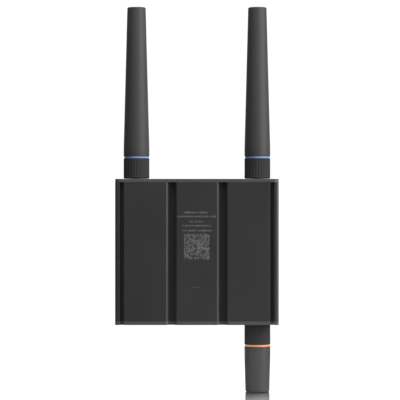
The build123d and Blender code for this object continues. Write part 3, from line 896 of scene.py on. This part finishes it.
def make_plate(name, loops, node):
    """An end plate of these loops, with room for its seal; the bottom one is turned over."""
    plate = extruded(name, loops, BODY_TOP, TOP, rim=PLATE_RIM)
    inner_corner = SEAL_CORNER - SEAL_BAND
    seal = extruded("seal_room", [
        box_outline(0, SEAL_Y, SEAL_WIDTH, SEAL_DEPTH, SEAL_CORNER),
        box_outline(0, SEAL_Y, SEAL_WIDTH - 2 * SEAL_BAND, SEAL_DEPTH - 2 * SEAL_BAND, inner_corner),
    ], BODY_TOP - 1, BODY_TOP + SEAL_ROOM)
    cut(plate, countersinks(), seal)
    if node == "bottom_end_plate":
        plate.data.transform(Matrix.Scale(-1, 4, (0, 0, 1)))
        tidy_mesh(plate.data)
    soften(plate)
    place_piece(plate, "chassis", "plate_paint", node)


def slot_outline(x, y, width, height):
    """A slot with fully round ends."""
    return box_outline(x, y, width, height, height / 2 - 0.01, 8)


def make_plates():
    """Both end plates, with the openings for their jacks, ports and controls."""
    make_plate("top_plate", [
        top_outline(),
        circle_outline(-ANTENNA_X, AXIS_Y, JACK_HOLE_R, 40),
        circle_outline(ANTENNA_X, AXIS_Y, JACK_HOLE_R, 40),
        box_outline(TRAY_X, TRAY_Y, *TRAY_HOLE, PORT_CORNER),
        slot_outline(SERVICE_X, SERVICE_Y, *SERVICE_HOLE),
        circle_outline(RESET_X, RESET_Y, RESET_HOLE_R, 28),
    ], "top_end_plate")
    make_plate("bottom_plate", [
        bottom_outline(),
        circle_outline(ANTENNA_X, AXIS_Y, JACK_HOLE_R, 40),
        *[box_outline(x, NETWORK_Y, *NETWORK_HOLE, PORT_CORNER) for x in NETWORK_X],
        box_outline(POWER_X, POWER_Y, *POWER_HOLE, PORT_CORNER),
    ], "bottom_end_plate")


def hex_socket_screw():
    """A countersunk screw with a hexagon socket, its head's top at height zero."""
    screw = turned("one_screw", [
        (0, 0, 0), (HEAD_R, 0, 0.12), (HEAD_R, -0.14, 0.05), (SHANK_R, -HEAD_DEPTH, 0.2),
        (SHANK_R, 0.4 - SCREW_LENGTH, 0.1), (SHANK_TIP_R, -SCREW_LENGTH, 0.1), (0, -SCREW_LENGTH, 0),
    ], sides=48)
    hexagon = circle_outline(0, 0, SOCKET_R, 6)
    return cut(screw, extruded("socket", [hexagon], -SOCKET_DEPTH, 0.5))


def make_screws():
    """All eight end plate screws, as one piece."""
    one = hex_socket_screw()
    tree = screws_tree()
    sets = []
    for height, over, seed in ((TOP - SCREW_BELOW, 0.0, 4), (SCREW_BELOW - TOP, math.pi, 9)):
        screws = add_piece("screws", bpy.data.meshes.new("screws"))
        sets.append(tree.grow(
            screws, Screw=one, Across=2 * SCREW_X * MM, Apart=(SCREW_Y[1] - SCREW_Y[0]) * MM,
            Middle=SEAL_Y * MM, Height=height * MM, Turn_over=over, Seed=seed,
            Material=FINISHES["screw_steel"]))
    drop(one)
    place_piece(together("plate_screws", sets), "chassis", "screw_steel", "end_plate_screws")


def make_overlay():
    """The printed film on the front, with a window for each light."""
    sheet = box_outline(0, 0, FILM_WIDTH, FILM_HEIGHT, FILM_CORNER, 8)
    overlay = extruded("front_film", [sheet], DEPTH - FILM_ROOM, FILM_FACE, rim=0.08, upright=False)
    cut(overlay, light_openings("windows", DEPTH - 2))
    soften(overlay)
    place_piece(overlay, "chassis", "overlay_film", "front_overlay")


# ---------------------------------------------------------------- antennas
def make_grip(prefix, flutes):
    """A fluted grip round its coupling nut, hollow from below between hub and outer wall."""
    flute_rows = [(GRIP_R, GRIP_START + 0.75 + FLUTE_STEP * i, 0) for i in range(FLUTE_ROWS)]
    grip = turned("grip", [
        (NUT_R, GRIP_START, 0.1), (HUB_R, GRIP_START, 0.1), (HUB_R, HOLLOW_END, 0.3),
        (HOLLOW_R, HOLLOW_END, 0.3), (HOLLOW_R, GRIP_START, 0.2), (GRIP_R - 0.55, GRIP_START, 0.25),
        (GRIP_R, GRIP_START + 0.55, 0.4), *flute_rows, (GRIP_R, GRIP_END, 0.45), (COLLAR_R, GRIP_END, 0.2),
        (COLLAR_R, NUT_END, 0.1), (NUT_R, NUT_END, 0.1),
    ], sides=FLUTES * 10, ring=True)
    flutes.grow(
        grip, Flutes=float(FLUTES), Depth=FLUTE_DEPTH * MM, Low=(GRIP_START + 1.0) * MM,
        High=(GRIP_END - 0.9) * MM, Run_out=FLUTE_RUN_OUT * MM, Outside=(GRIP_R - 0.2) * MM,
        Material=FINISHES["grip_plastic"])
    grip.data.transform(antenna_place(prefix))
    grip.name = prefix + "_fluted_grip"
    grip.data.name = grip.name
    tidy_mesh(grip.data)
    place_piece(grip, prefix + "_nut", "grip_plastic", prefix + "_nut_grip")


def make_ring(prefix, slot):
    """The coloured ring between grip and sheath."""
    ring = turned(prefix + "_colour_ring", [
        (STEM_R, RING_START, 0.1), (RING_R, RING_START, 0.3),
        (RING_R, RING_END, 0.3), (STEM_R, RING_END, 0.1),
    ], sides=120, ring=True)
    ring.data.transform(antenna_place(prefix))
    place_piece(ring, prefix, slot, prefix + "_ring")


def make_sheath(prefix, size):
    """The hollow sheath: straight up to its shoulder, then tapered to its tip."""
    shoulder, tip, tip_r = size["shoulder"], size["tip"], size["tip_r"]
    bore_r = BASE_R - SHEATH_WALL
    sheath = turned(prefix + "_rod", [
        (0, tip - TIP_WALL, 0), (tip_r - SHEATH_WALL, tip - TIP_WALL, 0.5), (bore_r, shoulder, 0),
        (bore_r, RING_END, 0.1), (BASE_R, RING_END, 0.35), (BASE_R, shoulder, SHOULDER_ROUND),
        (tip_r, tip, 1.0), (0, tip, 0),
    ], sides=128, steps=6)
    sheath.data.transform(antenna_place(prefix))
    place_piece(sheath, prefix, "antenna_plastic", prefix + "_sheath")


def make_antennas():
    """Two tall antennas with blue rings and a short one with an orange ring."""
    flutes = flutes_tree()
    for prefix in ANTENNAS:
        short = prefix == "short_antenna"
        make_grip(prefix, flutes)
        make_ring(prefix, "orange_ring" if short else "blue_ring")
        make_sheath(prefix, SHORT if short else TALL)


# ---------------------------------------------------------------- print
def printed(name, marks, slot, ink):
    """Joins printed marks into one piece of the case, in this ink."""
    place_piece(together(name, marks), "chassis", slot, material=ink)


def make_print():
    """Printed marks that spell nothing: rows, cells and a rule behind, captions and a rule in front."""
    rows, cells = dashes_tree(), cells_tree()

    def row(left, right, height, tall, seed, pitch=0.62, kept=0.88, back=PRINT_THICK / 2, ink=INK):
        """One row of marks; those with kept above one have no gaps."""
        blank = add_piece("row", bpy.data.meshes.new("row"))
        return rows.grow(
            blank, Left=left * MM, Right=right * MM, Height=height * MM, Pitch=pitch * MM, Tall=tall * MM,
            Thick=PRINT_THICK * MM, Back=back * MM, Kept=kept, Seed=seed, Material=ink)

    behind = [row(*place, 11 + 5 * i) for i, place in enumerate(BACK_ROWS)]
    field = add_piece("field", bpy.data.meshes.new("field"))
    behind.append(cells.grow(
        field, Side=FIELD_SIDE * MM, Cells=FIELD_CELLS, Middle_X=FIELD_X * MM, Middle_Z=FIELD_Z * MM,
        Thick=PRINT_THICK * MM, Back=PRINT_THICK / 2 * MM, Kept=0.55, Seed=23, Material=INK))
    behind.append(row(*BACK_RULE, 3, pitch=2.6, kept=1.1))
    printed("back_print", behind, "case_paint", INK)
    front = FILM_FACE + PRINT_THICK / 2
    captions = [
        row(x - 2.2, x + 2.2, LIGHT_Z - 5.0, 1.0, 31 + i, pitch=0.7, back=front, ink=FRONT_INK)
        for i, x in enumerate(LIGHT_X)
    ]
    captions.append(row(-30.0, 30.0, LIGHT_Z + 4.6, 0.25, 3, pitch=10.0, kept=1.1, back=front, ink=FRONT_INK))
    printed("front_print", captions, "overlay_film", FRONT_INK)


# ---------------------------------------------------------------- CAD pieces that stay
CARRIED = {
    "top_seal": "seal_rubber", "bottom_seal": "seal_rubber", "main_board": "board_laminate",
    "antenna_jack_shells": "jack_nickel", "antenna_jack_insulators": "insulator",
    "antenna_jack_contacts": "contact_gold", "processor": "chip_plastic", "heat_sink": "sink_aluminium",
    "radio_shield": "shield_tin", "modem_card": "board_laminate", "modem_shield": "shield_tin",
    "modem_supports": "jack_plastic", "board_capacitors": "can_aluminium", "board_inductors": "chip_plastic",
    "board_chips": "chip_plastic", "light_guides": "guide_clear", "network_jack_shells": "shield_tin",
    "network_jack_bodies": "jack_plastic", "network_contacts": "contact_gold",
    "power_header_body": "header_plastic", "power_header_pins": "contact_gold", "card_cage": "shield_tin",
    "service_port_shell": "shield_tin", "service_port_tongue": "jack_plastic", "reset_switch": "jack_plastic",
    "card_tray": "tray_plastic", "subscriber_card": "card_plastic", "reset_button": "tray_plastic",
}
IN_ANTENNA = {
    "_plug_body": "jack_brass", "_plug_pin": "contact_gold", "_base_plug": "antenna_plastic",
    "_coupling_nut": "jack_brass", "_element": "element_copper", "_coil": "element_copper",
    "_former": "former_plastic",
}


def finish_carried():
    """Gives the CAD pieces that aren't replaced their finishes."""
    finishes = dict(CARRIED)
    for prefix in ANTENNAS:
        finishes.update({prefix + piece: slot for piece, slot in IN_ANTENNA.items()})
    for name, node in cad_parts.items():
        if name in finishes:
            paint(node, FINISHES[finishes[name]])


# ---------------------------------------------------------------- stage
ROOM_WHITE = 1.05
# Between the short antenna's tip and the floor, in millimetres, and half the floor's side, in metres
FLOOR_GAP = 0.02
FLOOR_HALF = 30.0


def floor_finish():
    """White floor: matt with a faint mirror, fading into the white room, and clear from below."""
    material = bpy.data.materials.new("Gloss white floor")
    material.use_nodes = True
    tree = material.node_tree
    tree.nodes.clear()
    matt = shader_node(tree, "ShaderNodeBsdfDiffuse", {"Color": (0.93, 0.93, 0.93, 1)})
    mirror = shader_node(tree, "ShaderNodeBsdfGlossy", {"Color": (1, 1, 1, 1), "Roughness": 0.08})
    facing = shader_node(tree, "ShaderNodeLayerWeight", {"Blend": 0.5})
    strong = ramp(tree, facing.outputs["Facing"], 0.6, 0.915, 0.04, 1.0)
    # The reflection weakens away from the foot, and the floor throws up most light close to it
    place = shader_node(tree, "ShaderNodeTexCoord")
    foot = (ANTENNA_X * MM, AXIS_Y * MM, FLOOR_Z * MM)
    to_foot = shader_node(tree, "ShaderNodeVectorMath", {
        0: place.outputs["Object"], 1: foot}, operation="DISTANCE")
    away = to_foot.outputs["Value"]
    near = ramp(tree, away, 0.01, 0.08, 1.0, 0.8)
    mixed = blend(tree, worked(tree, "MULTIPLY", strong, near), matt, mirror)
    camera_ray = shader_node(tree, "ShaderNodeLightPath").outputs["Is Camera Ray"]
    dim = shader_node(tree, "ShaderNodeBsdfDiffuse", {"Color": ramp(tree, away, 0.01, 0.12, 0.6, 0.12)})
    seen = blend(tree, camera_ray, dim, mixed)
    # Far from the foot the floor fades into the white room
    far = ramp(tree, away, 0.14, 0.5, interpolation_type="SMOOTHSTEP")
    white = shader_node(tree, "ShaderNodeEmission", {"Color": (1, 1, 1, 1), "Strength": ROOM_WHITE})
    faded = blend(tree, worked(tree, "MULTIPLY", far, camera_ray), seen, white)
    # From below, the floor is clear, so the ports can be seen
    under = shader_node(tree, "ShaderNodeNewGeometry")
    clear = shader_node(tree, "ShaderNodeBsdfTransparent")
    sided = blend(tree, under.outputs["Backfacing"], faded, clear)
    last = shader_node(tree, "ShaderNodeOutputMaterial")
    tree.links.new(sided.outputs[0], last.inputs["Surface"])
    return material


def make_floor():
    """A wide floor just under the short antenna's tip."""
    work = bmesh.new()
    bmesh.ops.create_grid(work, x_segments=2, y_segments=2, size=FLOOR_HALF)
    mesh = bpy.data.meshes.new("floor")
    work.to_mesh(mesh)
    work.free()
    mesh.transform(Matrix.Translation((0, 0, (FLOOR_Z - FLOOR_GAP) * MM)))
    floor = add_piece("floor", mesh)
    floor.data.materials.append(floor_finish())


def make_world():
    """A white room for the camera, and a softer one that lights the object."""
    world = bpy.data.worlds.new("Studio")
    bpy.context.scene.world = world
    world.use_nodes = True
    tree = world.node_tree
    tree.nodes.clear()
    path = shader_node(tree, "ShaderNodeLightPath")
    way = shader_node(tree, "ShaderNodeTexCoord")
    split = shader_node(tree, "ShaderNodeSeparateXYZ", {0: way.outputs["Generated"]})
    # The room is white behind the object, grey to the right and above, and dark to the left
    right = ramp(tree, split.outputs["X"], -0.5, 0.7, 0.05, 0.33)
    above = ramp(tree, split.outputs["Z"], 0.3, 1.0, 0.0, 0.45)
    behind = ramp(tree, split.outputs["Y"], 0.55, 0.85)
    total = worked(tree, "ADD", worked(tree, "ADD", right, above), behind)
    white = shader_node(tree, "ShaderNodeBackground", {"Color": (1, 1, 1, 1), "Strength": ROOM_WHITE})
    room = shader_node(tree, "ShaderNodeBackground", {"Color": (1, 1, 1, 1), "Strength": total})
    mixed = blend(tree, path.outputs["Is Camera Ray"], room, white)
    last = shader_node(tree, "ShaderNodeOutputWorld")
    tree.links.new(mixed.outputs[0], last.inputs["Surface"])


def add_softbox(name, place, aim, width, height, power, spread=180):
    """An area light, in metres and watts, turned towards its aim."""
    data = bpy.data.lights.new(name, "AREA")
    data.shape = "RECTANGLE"
    data.size, data.size_y = width, height
    data.energy = power
    data.spread = math.radians(spread)
    light = bpy.data.objects.new(name, data)
    bpy.context.scene.collection.objects.link(light)
    light.location = place
    light.rotation_euler = (Vector(aim) - Vector(place)).to_track_quat("-Z", "Y").to_euler()
    light.visible_camera = False


def make_lights():
    """A key from the right, softer light from the front and above, and a faint beam at the foot."""
    add_softbox("key", (1.1, -0.66, 0.25), (0, 0, 0.02), 1.0, 1.1, 26)
    add_softbox("front", (-0.6, -1.1, 1.15), (0, 0, 0.02), 0.8, 0.6, 7)
    add_softbox("top", (0.1, -0.1, 1.4), (0, 0, 0), 1.3, 1.2, 18)
    add_softbox("foot", (-0.5, -0.5, -0.06), (ANTENNA_X * MM, AXIS_Y * MM, -0.078), 0.05, 0.05, 0.0055, 8)


def make_camera():
    """A long lens, level and square on to the case's back."""
    data = bpy.data.cameras.new("camera")
    data.lens, data.sensor_width = CAMERA_LENS, 36.0
    camera = bpy.data.objects.new("camera", data)
    bpy.context.scene.collection.objects.link(camera)
    camera.location = CAMERA_PLACE
    camera.rotation_euler = (math.pi / 2, 0, 0)
    data.clip_start, data.clip_end = 0.05, 50.0
    bpy.context.scene.camera = camera


make_camera()
make_world()
make_lights()
make_floor()
bpy.context.scene.view_settings.view_transform = "Standard"
make_case()
make_plates()
make_screws()
make_overlay()
make_antennas()
make_print()
finish_carried()
